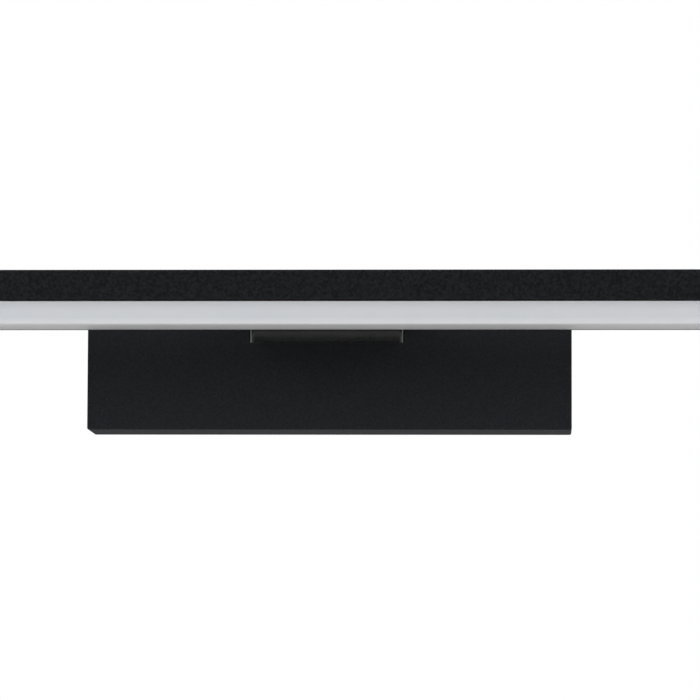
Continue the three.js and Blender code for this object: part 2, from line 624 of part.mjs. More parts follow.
// A closed channel above, and below it a shelf for the LED board and two edges that the diffuser snaps to:
// a lip behind the front, and a bead along the back.
function barHousing() {
  const { depth, height, wall, edge } = BAR;
  const lowEdge = SHADE.height + SHADE.seam;
  const beadTop = CATCH.rearTop;
  const beadBottom = CATCH.rearBottom;
  const outline = new THREE.Shape();
  outline.moveTo(barY(0), barZ(0));
  outline.lineTo(barY(0), barZ(height - edge));
  outline.absarc(barY(edge), barZ(height - edge), edge, 0, Math.PI / 2);
  outline.absarc(barY(depth - edge), barZ(height - edge), edge, Math.PI / 2, Math.PI);
  barPoints([
    [depth, lowEdge],
    [depth - wall - CATCH.depth, lowEdge],
    [depth - wall - CATCH.depth, lowEdge + CATCH.depth],
    [depth - wall, lowEdge + CATCH.depth],
    [depth - wall, SHELF.low],
    [wall, SHELF.low],
    [wall, beadTop],
    [wall + CATCH.depth, beadTop],
    [wall + CATCH.depth, beadBottom],
    [wall, beadBottom],
    [wall, 0],
  ]).forEach(([y, z]) => outline.lineTo(y, z));
  outline.holes = [
    new THREE.Path(barPoints([
      [CHANNEL.back, CHANNEL.low],
      [CHANNEL.back, CHANNEL.high],
      [CHANNEL.front, CHANNEL.high],
      [CHANNEL.front, CHANNEL.low],
    ]).map(([y, z]) => new THREE.Vector2(y, z))),
    circlePath(barY(CAP_PORT.depth), barZ(CAP_PORT.height), CAP_PORT.radius),
  ];
  const half = extrusionLength / 2;
  const { x0, x1, front, back } = connectorPlace();
  const [shelfBelow, shelfAbove] = [barZ(SHELF.low - 0.2), barZ(SHELF.high + 0.2)];
  const [inBack, outBack] = [barY(wall + PAST), barY(-PAST)];
  const room = 0.5;
  const screwHole = (side) => rod('y', [side * BAR_SCREW_X, 0, channelZ], TAPPED_RADIUS, inBack, outBack);
  const boardScrewHole = (side) =>
    rod('z', [side * boardScrewX, barY(depth / 2), 0], BOARD_SCREW.shank + GAP, shelfBelow, shelfAbove);
  return cut(alongX(outline, -half, half, 4), [
    ...SIDES.map(screwHole),
    rod('y', [0, 0, channelZ], BAR_LEAD_HOLE, inBack, outBack),
    box([x0 - PAST, barY(front + room), shelfBelow], [x1 + PAST, barY(back - room), shelfAbove]),
    ...SIDES.map(boardScrewHole),
  ]);
}

// A trough with a hooked leg at its back and another behind its front, which snap past the housing's edges.
function diffuser() {
  const { depth, wall } = BAR;
  const { height, edge, hookTop } = SHADE;
  const inside = depth - SHADE.wall;
  const frontNeck = depth - wall - CATCH.depth - GAP;
  const rearLeg = wall + CATCH.depth + GAP;
  const rearHook = CATCH.rearTop + GAP;
  const { shoulder, leg, frontHeight } = CATCH;
  const outline = new THREE.Shape();
  outline.moveTo(barY(wall + GAP), barZ(0));
  outline.lineTo(barY(wall + GAP), barZ(SHADE.wall));
  barPoints([
    [rearLeg, SHADE.wall],
    [rearLeg, rearHook],
    [rearLeg - CATCH.depth, rearHook],
    [rearLeg, hookTop],
    [rearLeg + leg, hookTop],
    [rearLeg + leg, SHADE.wall],
    [inside, SHADE.wall],
    [inside, height - shoulder],
    [frontNeck - leg, height - shoulder],
    [frontNeck - leg, hookTop],
    [frontNeck, hookTop],
    [frontNeck + CATCH.depth, frontHeight],
    [frontNeck, frontHeight],
    [frontNeck, height],
    [depth, height],
  ]).forEach(([y, z]) => outline.lineTo(y, z));
  outline.lineTo(barY(depth), barZ(edge));
  outline.absarc(barY(depth - edge), barZ(edge), edge, Math.PI, Math.PI * 1.5);
  const half = extrusionLength / 2;
  return alongX(outline, -half, half, 5);
}

function ledBoard() {
  const { back, front, thickness, ledCount, ledSize, ledDepth, ledHeight } = BOARD;
  const half = boardHalf;
  const low = barZ(boardTop - thickness);
  const board = box([-half, barY(front), low], [half, barY(back), barZ(boardTop)]);
  const ledY = barY((back + front) / 2);
  const leds = Array.from({ length: ledCount }, (_, i) => {
    const x = -half + (i + 0.5) * ledPitch;
    return box(
      [x - ledSize / 2, ledY - ledDepth / 2, low - ledHeight],
      [x + ledSize / 2, ledY + ledDepth / 2, low + GAP]);
  });
  const screwHole = (side) => rod('z', [side * boardScrewX, barY(BAR.depth / 2), 0], BOARD_SCREW.shank + GAP,
    low - PAST, barZ(boardTop) + PAST, 12);
  return cut(join([board, ...leds]), SIDES.map(screwHole));
}

const connectorPlace = () => ({ x0: 26.3, x1: 34, back: 5.3, front: 11.3 });

// A plug in the housing's channel, standing over the opening to the board, with a latch on top.
function leadConnector() {
  const { x0, x1, back, front } = connectorPlace();
  const low = barZ(boardTop) + GAP;
  const latchTop = barZ(CHANNEL.high) - 0.4;
  const high = latchTop - 0.4;
  const latchInset = 2;
  const body = box([x0, barY(front), low], [x1, barY(back), high]);
  const latch = box(
    [x0 + 1.5, barY(front - latchInset), high - 0.2],
    [x1 - latchInset, barY(back + latchInset), latchTop]);
  return join([body, latch]);
}

// A plate with two plugs that reach into the extrusion, for the left end (side -1) or the right (side 1).
function endCap(side) {
  const outer = BAR.length / 2;
  const inner = outer - BAR.cap;
  const ends = (from, to) => (side > 0 ? [from, to] : [-to, -from]);
  const face = roundedRectangle(barY(BAR.depth), barZ(0), barY(0), barZ(BAR.height), BAR.edge);
  const plug = (backDepth, frontDepth, low, high) => {
    const [x0, x1] = ends(inner - END_CAP.plug, inner + 0.5);
    return box([x0, barY(frontDepth), barZ(low)], [x1, barY(backDepth), barZ(high)]);
  };
  const place = [0, barY(CAP_PORT.depth), barZ(CAP_PORT.height)];
  return cut(join([
    alongX(face, ...ends(inner, outer)),
    plug(CHANNEL.back + GAP, CHANNEL.front - GAP, CHANNEL.low + GAP, CHANNEL.high - GAP),
    plug(BOARD.back, BOARD.front, SHADE.wall + 0.5, END_CAP.plugTop),
  ]), [
    rod('x', place, END_CAP.holeRadius, ...ends(inner - PAST, outer + PAST)),
    rod('x', place, END_CAP.seatRadius, ...ends(outer - CAP_PORT.seat, outer + PAST)),
  ]);
}

function slotNut() {
  const halfHeight = (CHANNEL.high - CHANNEL.low) / 2 - GAP;
  const { halfWidth, thickness } = SLOT_NUT;
  const block = box([-halfWidth, -thickness, -halfHeight], [halfWidth, 0, halfHeight]);
  return cut(block, [rod('y', [0, 0, 0], TAPPED_RADIUS, -thickness - PAST, PAST, 16)]);
}

// ---------------------------------------------------------------------------------------------
// Assembly
// ---------------------------------------------------------------------------------------------

const lamp = new THREE.Group();
lamp.name = 'vanity_light_bar';

const canopy = new THREE.Group();
const wiring = new THREE.Group();
const arm = new THREE.Group();
const bar = new THREE.Group();
arm.position.set(0, pivotY, PIVOT.z);
bar.position.set(0, pivotY, PIVOT.z);
lamp.add(canopy, wiring, arm, bar);

const HANDS = [['left', -1], ['right', 1]];

function buildCanopy() {
  add(canopy, 'canopy_cover', canopyCover(), canopyBlack());
  add(canopy, 'wall_bracket', wallBracket(), zincSteel());
  add(canopy, 'backing_plate', backingPlate(), zincSteel());
  const sideScrew = screw(SIDE_SCREW);
  const x = CANOPY.width / 2;
  add(canopy, 'canopy_screw_left', sideScrew, blackSteel(), [-x, -CANOPY.sideScrewDepth, 0], 'left');
  add(canopy, 'canopy_screw_right', sideScrew, blackSteel(), [x, -CANOPY.sideScrewDepth, 0], 'right');
  const supplyGrommet = grommet({
    bore: CABLE_ENTRY.boreRadius,
    sleeve: CABLE_ENTRY.holeRadius - GAP,
    length: BRACKET.thickness - 0.1,
    flange: CABLE_ENTRY.holeRadius + 1.5,
    flangeHeight: 1.6,
  });
  const entry = [CABLE_ENTRY.x, bracketFront - GAP, CABLE_ENTRY.z];
  add(canopy, 'supply_grommet', supplyGrommet, rubber(), entry, 'front');
  const lugScrew = screw(LUG_SCREW);
  HANDS.forEach(([name, side]) => {
    const place = [side * LUG.screwX, plateBack + GAP, PIVOT.z];
    add(canopy, `lug_screw_${name}`, lugScrew, zincSteel(), place, 'back');
  });
  const lugGrommet = grommet({
    bore: LED_LEAD_RADIUS + LEAD_ROOM,
    sleeve: LED_LEAD_HOLE - GAP,
    length: 7.2,
    flange: 4.4,
    flangeHeight: 1.2,
  });
  add(canopy, 'lug_grommet', lugGrommet, rubber(), [0, plateBack + GAP, leadInCanopyZ], 'back');
}

function buildDriver() {
  add(wiring, 'driver_case', driverCase(), whitePlastic());
  add(wiring, 'driver_lid', driverLid(), whitePlastic());
  add(wiring, 'driver_board', driverBoard(), boardGreen());
  add(wiring, 'driver_transformer', transformer(), ferrite());
  const { inputX, inputZ, inputLength, outputX, outputZ, outputLength } = CAPACITOR;
  add(wiring, 'driver_input_capacitor', capacitor(inputX, inputZ, inputLength), capacitorSleeve());
  add(wiring, 'driver_output_capacitor', capacitor(outputX, outputZ, outputLength), capacitorSleeve());
  const driverScrew = screw(DRIVER_SCREW);
  driverScrewXs().forEach((x, i) => {
    add(wiring, `driver_screw_${['left', 'right'][i]}`, driverScrew, zincSteel(),
      [x, driverBack - DRIVER.wall - GAP, 0], 'front');
  });
}

function buildWiring() {
  add(wiring, 'terminal_block', terminalBlock(), greyPlastic());
  const clampScrew = screw(CLAMP_SCREW);
  terminalXs().forEach((x, i) => {
    add(wiring, `terminal_screw_${['live', 'neutral', 'earth'][i]}`, clampScrew, brass(),
      [x, driverBack - TERMINAL.depth + 2.4, TERMINAL.z], 'front');
  });
  add(wiring, 'earth_tag', earthTag(), zincSteel());
  const earthPlace = [EARTH.x, bracketFront - 2 * GAP - EARTH.thickness, EARTH.z];
  add(wiring, 'earth_screw', screw(EARTH_SCREW), brass(), earthPlace, 'front');

  const [liveX, neutralX, earthX] = terminalXs();
  const { wireDepth } = TERMINAL;
  const liveRoute = [
    [liveX, -wireDepth, -13], [liveX, -wireDepth, -17], [36, -9, -19.6], [32, -9, -19.6],
    [29.6, -9.2, -16.5], [28.6, -9.8, -10], [27, -10.6, -4.6], [23.5, -11, -3], [18.5, -11, -3],
  ];
  const neutralRoute = [
    [neutralX, -wireDepth, -13], [neutralX, -wireDepth, -16.5], [44.6, -10.6, -19.4], [40.5, -12.2, -20.6],
    [33, -12.8, -20.6], [27.4, -12.8, -18.6], [25.6, -12.4, -13], [24.4, -11.6, -9.2], [21, -11.5, -8],
    [18.5, -11.5, -8],
  ];
  const earthRoute = [
    [earthX, -wireDepth, -13], [earthX, -wireDepth, -16.8], [55.6, -8.4, -19.6], [59.5, -6.4, -21],
    [63.4, -4.4, -21.5], [66.4, -3.4, -21.3], [67, -3.3, -19.2],
  ];
  add(wiring, 'live_lead', lead(liveRoute, MAINS_LEAD_RADIUS, 26), leadBrown());
  add(wiring, 'neutral_lead', lead(neutralRoute, MAINS_LEAD_RADIUS, 28), leadBlue());
  add(wiring, 'earth_lead', lead(earthRoute, MAINS_LEAD_RADIUS, 18), leadGreen());
  add(wiring, 'led_lead', lead(ledRoute(), LED_LEAD_RADIUS, 64), rubber());
}

// From the driver's left end, over the driver, out through the lug, across the hinge and into the bar.
function ledRoute() {
  const inBarZ = PIVOT.z + channelZ;
  const barLeadY = pivotY + barY(8.3);
  return [
    [-46.5, -11, 3],
    [-52, -11, 3.2],
    [-57, -11, 6.5],
    [-57.6, -10.8, 12.5],
    [-53, -10.4, 17.6],
    [-45, -10, 18.7],
    [-30, -10, 18.7],
    [-15, -10.4, 18.4],
    [-6, -12.6, 17.6],
    [-1, -17.4, 16.8],
    [0, -22, leadInCanopyZ],
    [0, -28.4, leadInCanopyZ],
    [0, -32.5, leadInCanopyZ + 0.9],
    [0, -37.5, inBarZ - 1],
    [0, -41.8, inBarZ],
    [0, -46.4, inBarZ],
    [1.6, -49.8, inBarZ],
    [5.4, -52, inBarZ],
    [11, barLeadY, inBarZ],
    [18, barLeadY, inBarZ - 0.2],
    [connectorPlace().x0 - GAP, barLeadY, inBarZ - 0.3],
  ];
}

function buildArm() {
  add(arm, 'hinge_lug', hingeLug(), canopyBlack());
  add(arm, 'hinge_fork', hingeFork(), canopyBlack());
  const pivotScrew = screw(PIVOT_SCREW);
  const headX = ARM.width / 2 + GAP;
  add(arm, 'pivot_screw_left', pivotScrew, blackSteel(), [-headX, 0, 0], 'left');
  add(arm, 'pivot_screw_right', pivotScrew, blackSteel(), [headX, 0, 0], 'right');
  add(arm, 'friction_washer_left', frictionWasher(), nylon(), [-knuckleOutside - GAP, 0, 0], 'left');
  add(arm, 'friction_washer_right', frictionWasher(), nylon(), [knuckleOutside + GAP, 0, 0], 'right');
}

function buildBar() {
  add(bar, 'bar_housing', barHousing(), barBlack());
  add(bar, 'diffuser', diffuser(), opal());
  add(bar, 'led_board', ledBoard(), boardWhite());
  add(bar, 'lead_connector', leadConnector(), whitePlastic());
  add(bar, 'end_cap_left', endCap(-1), barBlack());
  add(bar, 'end_cap_right', endCap(1), barBlack());
  const capScrew = screw(CAP_SCREW);
  const capX = BAR.length / 2 - CAP_PORT.seat + GAP;
  const capPlace = [barY(CAP_PORT.depth), barZ(CAP_PORT.height)];
  add(bar, 'end_cap_screw_left', capScrew, blackSteel(), [-capX, ...capPlace], 'left');
  add(bar, 'end_cap_screw_right', capScrew, blackSteel(), [capX, ...capPlace], 'right');
  const forkScrew = screw(FORK_SCREW);
  const boardScrew = screw(BOARD_SCREW);
  const boardUnderside = barZ(boardTop - BOARD.thickness) - GAP;
  HANDS.forEach(([name, side]) => {
    const x = side * BAR_SCREW_X;
    add(bar, `fork_screw_${name}`, forkScrew, zincSteel(), [x, webBack - 0.1, channelZ], 'back');
    add(bar, `slot_nut_${name}`, slotNut(), zincSteel(), [x, barY(BAR.wall + GAP), channelZ]);
    const place = [side * boardScrewX, barY(BAR.depth / 2), boardUnderside];
    add(bar, `board_screw_${name}`, boardScrew, zincSteel(), place, 'down');
  });
  const forkGrommet = grommet({
    bore: LED_LEAD_RADIUS + LEAD_ROOM,
    sleeve: BAR_LEAD_HOLE - GAP,
    length: ARM.sheet + 2 * GAP + BAR.wall,
    flange: 3.6,
    flangeHeight: 1,
  });
  add(bar, 'fork_grommet', forkGrommet, rubber(), [0, webBack + GAP, channelZ], 'back');
}

buildCanopy();
buildDriver();
buildWiring();
buildArm();
buildBar();

export default lamp;
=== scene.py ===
"""The looks of a vanity light bar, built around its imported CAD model.

Metres, +Z up, +X along the bar. The wall is the plane y = 0 and the front of the lamp faces -Y.
"""

import math

import bpy
from mathutils import Matrix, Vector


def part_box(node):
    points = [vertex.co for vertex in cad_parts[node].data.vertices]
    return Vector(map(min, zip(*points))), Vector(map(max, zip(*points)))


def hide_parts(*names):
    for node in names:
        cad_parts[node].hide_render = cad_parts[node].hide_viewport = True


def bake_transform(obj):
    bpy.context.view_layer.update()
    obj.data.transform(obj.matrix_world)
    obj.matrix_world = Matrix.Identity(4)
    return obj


MM = 0.001
LED_COUNT = 36

# ------------------------------------------------------------------------------------------------
# Which nodes share a finish
# ------------------------------------------------------------------------------------------------

FINISH_NODES = {
    "canopy_black": ("canopy_cover", "hinge_lug"),
    "arm_black": ("hinge_fork",),
    "bar_black": ("bar_housing", "end_cap_left", "end_cap_right"),
    "opal": ("diffuser",),
    "zinc_steel": (
        "wall_bracket",
        "backing_plate",
        "earth_tag",
        "lug_screw_left",
        "lug_screw_right",
        "driver_screw_left",
        "driver_screw_right",
        "fork_screw_left",
        "fork_screw_right",
        "slot_nut_left",
        "slot_nut_right",
        "board_screw_left",
        "board_screw_right",
    ),
    "black_steel": (
        "canopy_screw_left",
        "canopy_screw_right",
        "pivot_screw_left",
        "pivot_screw_right",
        "end_cap_screw_left",
        "end_cap_screw_right",
    ),
    "black_rubber": ("supply_grommet", "lug_grommet", "fork_grommet", "led_lead"),
    "white_plastic": ("driver_case", "driver_lid", "lead_connector"),
    "grey_plastic": ("terminal_block",),
    "circuit_board": ("driver_board",),
    "led_board": ("led_board",),
    "ferrite": ("driver_transformer",),
    "capacitor_sleeve": ("driver_input_capacitor", "driver_output_capacitor"),
    "brass": ("terminal_screw_live", "terminal_screw_neutral", "terminal_screw_earth", "earth_screw"),
    "nylon": ("friction_washer_left", "friction_washer_right"),
    "lead_brown": ("live_lead",),
    "lead_blue": ("neutral_lead",),
    "lead_green": ("earth_lead",),
}

# ------------------------------------------------------------------------------------------------
# Node trees
# ------------------------------------------------------------------------------------------------


class Graph:
    """A material's node tree. Each method adds a node and gives back its output socket."""

    def __init__(self, name, **uniform):
        self.material = bpy.data.materials.new(name)
        self.material.use_nodes = True
        self.tree = self.material.node_tree
        self.shader = self.tree.nodes["Principled BSDF"]
        self.place = self.make("ShaderNodeTexCoord", {}, "Object")
        for socket, value in uniform.items():
            self.shader.inputs[socket.replace("_", " ")].default_value = value

    def feed(self, socket, value):
        if isinstance(value, bpy.types.NodeSocket):
            self.tree.links.new(value, socket)
        else:
            socket.default_value = value

    def make(self, kind, inputs, output=0, **settings):
        node = self.tree.nodes.new(kind)
        for key, value in settings.items():
            setattr(node, key, value)
        for socket, value in inputs.items():
            self.feed(node.inputs[socket], value)
        return node.outputs[output]

    def set(self, socket, value):
        self.feed(self.shader.inputs[socket], value)

    def scaled(self, x, y, z):
        """The place with each axis stretched by its own factor."""
        return self.make("ShaderNodeMapping", {"Vector": self.place, "Scale": (x, y, z)})

    def noise(self, size, detail=2.0, roughness=0.5, place=None):
        """Soft noise whose blotches are about size metres across."""
        inputs = {
            "Vector": place or self.place,
            "Scale": 1 / size,
            "Detail": detail,
            "Roughness": roughness,
        }
        return self.make("ShaderNodeTexNoise", inputs)

    def cells(self, size, output="Distance", **settings):
        """Voronoi cells about size metres across."""
        inputs = {"Vector": self.place, "Scale": 1 / size}
        return self.make("ShaderNodeTexVoronoi", inputs, output, **settings)

    def span(self, value, low, high, to_low=0.0, to_high=1.0):
        """The value mapped from one range to another, and clamped."""
        inputs = {
            "Value": value,
            "From Min": low,
            "From Max": high,
            "To Min": to_low,
            "To Max": to_high,
        }
        return self.make("ShaderNodeMapRange", inputs)

    def math(self, operation, a, b=0.0):
        return self.make("ShaderNodeMath", {0: a, 1: b}, operation=operation)

    def mix(self, share, a, b):
        """The colour a, going to b as share goes from 0 to 1."""
        return self.make("ShaderNodeMix", {0: share, 6: a, 7: b}, 2, data_type="RGBA")

    def axis(self, name, source=None):
        return self.make("ShaderNodeSeparateXYZ", {"Vector": source or self.place}, name)

    def edges(self, reach):
        """1 on outside edges, falling to 0 at reach metres from them, broken up by noise."""
        hidden = self.make(
            "ShaderNodeAmbientOcclusion",
            {"Distance": reach},
            "AO",
            inside=True,
            only_local=True,
            samples=8,
        )
        rim = self.span(hidden, 0.95, 0.6)
        broken = self.span(self.noise(4 * MM, 3.0), 0.35, 0.6, 0.35, 1.0)
        return self.math("MULTIPLY", rim, broken)

    def bump(self, height, relief):
        """Relief in metres, from a height that runs from 0 to 1."""
        self.set("Normal", self.make("ShaderNodeBump", {"Height": height, "Distance": relief}))


def rgb(red, green, blue):
    return (red, green, blue, 1.0)


# ------------------------------------------------------------------------------------------------
# Finishes
# ------------------------------------------------------------------------------------------------


def powder_coat(name, dark, light, grain, relief, specular, rough):
    """Baked powder paint: a grain of fused beads, pale flecks, and thin, shiny paint on the edges."""
    g = Graph(name, Specular_IOR_Level=specular)
    beads = g.cells(grain)
    fine = g.noise(grain * 0.6, 3.0, 0.6)
    broad = g.noise(28 * MM, 3.0)
    chance = g.axis("X", g.cells(grain, "Color"))
    fleck = g.math("MULTIPLY", g.span(beads, 0.45, 0.15), g.span(chance, 0.7, 1.0))
    mottle = g.math("ADD", g.noise(grain * 1.5, 1.0, 0.5), g.span(broad, 0.2, 0.8, -0.03, 0.03))
    tone = g.mix(g.span(mottle, 0.3, 0.7, 0.0, 0.5), dark, light)
    fleck_strength = 0.4
    tone = g.mix(g.math("MULTIPLY", fleck, fleck_strength), tone, light)
    worn = g.edges(0.5 * MM)
    g.set("Base Color", g.mix(g.math("MULTIPLY", worn, 0.4), tone, light))
    shine = g.span(fine, 0.3, 0.7, rough - 0.07, rough + 0.07)
    g.set("Roughness", g.math("SUBTRACT", shine, g.math("MULTIPLY", worn, 0.12)))
    g.bump(g.math("ADD", g.math("MULTIPLY", beads, 0.5), fine), relief)
    return g.material


def sandy_black():
    return powder_coat(
        "sandy_black",
        rgb(0.0048, 0.0055, 0.0068),
        rgb(0.0248, 0.0275, 0.0328),
        grain=0.62 * MM,
        relief=0.09 * MM,
        specular=0.11,
        rough=0.62,
    )


def canopy_black():
    return powder_coat(
        "canopy_black",
        rgb(0.0127, 0.0143, 0.0175),
        rgb(0.0272, 0.03, 0.0355),
        grain=0.3 * MM,
        relief=0.03 * MM,
        specular=0.2,
        rough=0.7,
    )


def arm_black():
    """Smooth, glossy black paint, in which the diffuser's underside shows as a reflection."""
    return powder_coat(
        "arm_black",
        rgb(0.0035, 0.0038, 0.0042),
        rgb(0.011, 0.012, 0.0135),
        grain=0.3 * MM,
        relief=0.0005 * MM,
        specular=0.95,
        rough=0.19,
    )


def opal_acrylic():
    """Milky extruded acrylic with a satin face, and faint lines from the die along its length.

    The front is painted darkest at the seam as painted shade, and lightest at its lower edge as painted
    light. The underside is painted darker towards the back as painted shade. This painted shade and
    light stand in for how light falls in and around the acrylic, because the scene's own light doesn't
    give it.
    """
    low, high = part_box("diffuser")
    g = Graph("opal_acrylic", Subsurface_Weight=0.35, Subsurface_Scale=3 * MM, IOR=1.49)
    g.shader.inputs["Subsurface Radius"].default_value = (1.0, 1.0, 1.0)
    cloud = g.noise(35 * MM, 3.0)
    drawn = g.noise(0.6 * MM, 2.0, place=g.scaled(0.004, 1.0, 1.0))
    frost = g.noise(0.12 * MM, 2.0, 0.6)
    tone = g.mix(g.span(cloud, 0.3, 0.7), rgb(0.765, 0.79, 0.825), rgb(0.79, 0.81, 0.845))
    tone = g.mix(g.span(drawn, 0.35, 0.75, 0.0, 0.2), tone, rgb(0.74, 0.76, 0.8))
    height = g.math("SUBTRACT", g.axis("Z"), low.z)
    shade_start, shade_end = 4.2 * MM, 7.6 * MM
    glow_start, glow_end = 2.4 * MM, 0.6 * MM
    # Painted shade: the front is darker towards the seam under the black housing.
    seam_painted_shade = g.make(
        "ShaderNodeMapRange",
        {"Value": height, "From Min": shade_start, "From Max": shade_end},
        interpolation_type="SMOOTHSTEP",
    )
    # Painted light: the front is lighter towards its lower edge.
    edge_painted_light = g.span(height, glow_start, glow_end)
    underneath = g.span(height, 0.3 * MM, 0.05 * MM)
    # Painted shade: the underside is darker towards the back.
    back_painted_shade = g.span(g.axis("Y"), low.y, high.y)
    tone = g.mix(seam_painted_shade, tone, rgb(0.66, 0.675, 0.7))
    tone = g.mix(edge_painted_light, tone, rgb(0.84, 0.86, 0.89))
    underside_painted_shade = g.mix(back_painted_shade, rgb(0.8, 0.8, 0.8), rgb(0.6, 0.6, 0.61))
    g.set("Base Color", g.mix(underneath, tone, underside_painted_shade))
    g.set("Roughness", g.span(g.math("ADD", frost, drawn), 0.6, 1.4, 0.32, 0.46))
    g.bump(g.math("ADD", frost, g.math("MULTIPLY", drawn, 0.6)), 0.006 * MM)
    return g.material


def zinc_steel():
    """Zinc-plated steel: pale crystals, each with its own shine, and hairline scratches."""
    g = Graph("zinc_steel", Metallic=1.0)
    crystal = g.axis("X", g.cells(3.2 * MM, "Color", distance="MINKOWSKI"))
    haze = g.noise(9 * MM, 4.0)
    scratch = g.noise(0.25 * MM, 2.0, place=g.scaled(0.05, 1.0, 1.0))
    lines = g.span(scratch, 0.66, 0.72)
    tone = g.mix(crystal, rgb(0.46, 0.48, 0.49), rgb(0.60, 0.61, 0.61))
    tone = g.mix(g.span(haze, 0.4, 0.75, 0.0, 0.5), tone, rgb(0.52, 0.51, 0.46))
    g.set("Base Color", g.mix(g.math("MULTIPLY", lines, 0.5), tone, rgb(0.75, 0.76, 0.76)))
    dull = g.span(crystal, 0.0, 1.0, 0.3, 0.44)
    g.set("Roughness", g.math("ADD", dull, g.span(haze, 0.3, 0.7, -0.04, 0.08)))
    g.bump(g.math("ADD", g.math("MULTIPLY", crystal, 0.4), scratch), 0.008 * MM)
    return g.material


def black_steel():
    """Blackened screw steel, rubbed through to bare metal on its edges."""
    g = Graph("black_steel", Metallic=0.85)
    bloom = g.noise(1.6 * MM, 4.0)
    worn = g.edges(0.25 * MM)
    tone = g.mix(g.span(bloom, 0.35, 0.7), rgb(0.018, 0.018, 0.02), rgb(0.04, 0.038, 0.036))
    g.set("Base Color", g.mix(g.math("MULTIPLY", worn, 0.7), tone, rgb(0.22, 0.21, 0.2)))
    g.set("Roughness", g.span(bloom, 0.3, 0.7, 0.34, 0.5))
    g.bump(g.noise(0.12 * MM, 2.0), 0.01 * MM)
    return g.material


def brass():
    """Turned brass with a warm tarnish in patches."""
    g = Graph("brass", Metallic=1.0)
    tarnish = g.noise(1.8 * MM, 4.0)
    turning = g.noise(0.1 * MM, 1.0, place=g.scaled(0.2, 1.0, 0.2))
    g.set("Base Color", g.mix(g.span(tarnish, 0.4, 0.7), rgb(0.62, 0.44, 0.17), rgb(0.36, 0.23, 0.09)))
    g.set("Roughness", g.span(tarnish, 0.35, 0.7, 0.26, 0.48))
    g.bump(turning, 0.008 * MM)
    return g.material


def moulded_plastic(name, tone, shade, rough, grain=0.3 * MM):
    """Moulded plastic with a spark-eroded texture, uneven in colour, and paler along its edges."""
    g = Graph(name, Subsurface_Weight=0.08, Subsurface_Scale=1 * MM)
    flow = g.noise(14 * MM, 3.0)
    texture = g.noise(grain, 2.0, 0.6)
    worn = g.edges(0.3 * MM)
    pale = [min(1.0, 1.12 * part) for part in tone]
    body = g.mix(g.span(flow, 0.3, 0.7), tone, shade)
    g.set("Base Color", g.mix(g.math("MULTIPLY", worn, 0.5), body, pale))
    g.set("Roughness", g.span(texture, 0.3, 0.7, rough - 0.08, rough + 0.08))
    g.bump(texture, 0.02 * MM)
    return g.material


def black_rubber():
    """Moulded rubber, dull, with a bloom of dust in its grain."""
    g = Graph("black_rubber", Specular_IOR_Level=0.35)
    bloom = g.noise(2.5 * MM, 4.0)
    grain = g.noise(0.14 * MM, 2.0, 0.7)
    dusty = g.span(bloom, 0.4, 0.75)
    g.set("Base Color", g.mix(dusty, rgb(0.009, 0.009, 0.0095), rgb(0.026, 0.025, 0.024)))
    g.set("Roughness", g.span(grain, 0.3, 0.7, 0.66, 0.84))
    g.bump(grain, 0.015 * MM)
    return g.material


def lead_cover(name, tone, shade, stripe=None):
    """Smooth PVC insulation. A stripe colour covers the side of the lead that faces forward."""
    g = Graph(name)
    flow = g.noise(3 * MM, 3.0)
    fine = g.noise(0.2 * MM, 2.0)
    body = g.mix(g.span(flow, 0.3, 0.7), tone, shade)
    if stripe:
        facing = g.axis("Y", g.make("ShaderNodeTexCoord", {}, "Normal"))
        body = g.mix(g.span(facing, 0.05, -0.05), body, stripe)
    g.set("Base Color", body)
    g.set("Roughness", g.span(fine, 0.3, 0.7, 0.36, 0.5))
    g.bump(fine, 0.01 * MM)
    return g.material


def circuit_board():
    """Green solder mask over a maze of copper tracks, with tinned pads."""
    g = Graph("circuit_board")
    tracks = g.span(g.cells(2.4 * MM, feature="DISTANCE_TO_EDGE"), 0.1, 0.13)
    pads = g.span(g.cells(3.1 * MM), 0.2, 0.17)
    weave = g.noise(0.4 * MM, 2.0)
    mask = g.mix(tracks, rgb(0.03, 0.16, 0.07), rgb(0.012, 0.08, 0.035))
    mask = g.mix(g.span(weave, 0.3, 0.7, 0.0, 0.3), mask, rgb(0.02, 0.11, 0.06))
    g.set("Base Color", g.mix(pads, mask, rgb(0.55, 0.56, 0.56)))
    g.set("Metallic", pads)
    g.set("Roughness", g.span(weave, 0.3, 0.7, 0.28, 0.42))
    g.bump(g.math("ADD", g.math("MULTIPLY", tracks, -0.5), g.math("MULTIPLY", weave, 0.2)), 0.03 * MM)
    return g.material


def led_board():
    """White solder mask above, and a yellow window of phosphor in the face of each LED below."""
    low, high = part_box("led_board")
    g = Graph("led_board")
    pitch = (high.x - low.x) / LED_COUNT
    step = g.math("DIVIDE", g.math("SUBTRACT", g.axis("X"), low.x), pitch)
    along = g.math("MULTIPLY", g.math("SUBTRACT", g.math("FRACT", step), 0.5), pitch)
    across = g.math("SUBTRACT", g.axis("Y"), 0.5 * (low.y + high.y))
    squares = g.math("ADD", g.math("POWER", along, 2.0), g.math("POWER", across, 2.0))
    from_led = g.math("POWER", squares, 0.5)
    window_radius = 1.15 * MM
    window = g.span(from_led, window_radius, window_radius - 0.15 * MM)
    below = g.span(g.axis("Z"), low.z + 0.2 * MM, low.z + 0.1 * MM)
    grain = g.noise(0.25 * MM, 2.0)
    mask = g.mix(g.span(g.noise(12 * MM, 3.0), 0.3, 0.7), rgb(0.80, 0.81, 0.78), rgb(0.73, 0.74, 0.72))
    g.set("Base Color", g.mix(g.math("MULTIPLY", window, below), mask, rgb(0.78, 0.55, 0.09)))
    g.set("Roughness", g.span(grain, 0.3, 0.7, 0.3, 0.46))
    g.bump(grain, 0.01 * MM)
    return g.material


